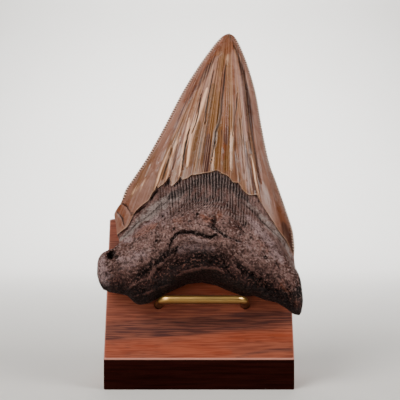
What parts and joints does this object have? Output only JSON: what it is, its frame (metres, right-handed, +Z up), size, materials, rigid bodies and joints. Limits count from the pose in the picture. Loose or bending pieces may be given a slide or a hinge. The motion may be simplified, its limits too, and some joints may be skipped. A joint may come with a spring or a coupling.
{
  "type": "fossil shark tooth on a display stand",
  "caption": "Serrated megalodon tooth with a broad rugged root, leaning on a wedge-shaped wood block and held by a bracket of round brass rod.",
  "frame": {"origin": "centre of the wood block's underside", "axes": "+Z up, -Y towards the viewer, +X to the viewer's right"},
  "size_m": [0.0784, 0.0498, 0.144],
  "materials": {
    "fossil": "glossy enamel over a rough porous root",
    "oiled_hardwood": "oiled satin, straight grain",
    "brass": "polished round rod"
  },
  "bodies": {
    "root": {"tooth": "fossil", "wood_block": "oiled_hardwood", "brass_bracket": "brass"}
  },
  "joints": []
}
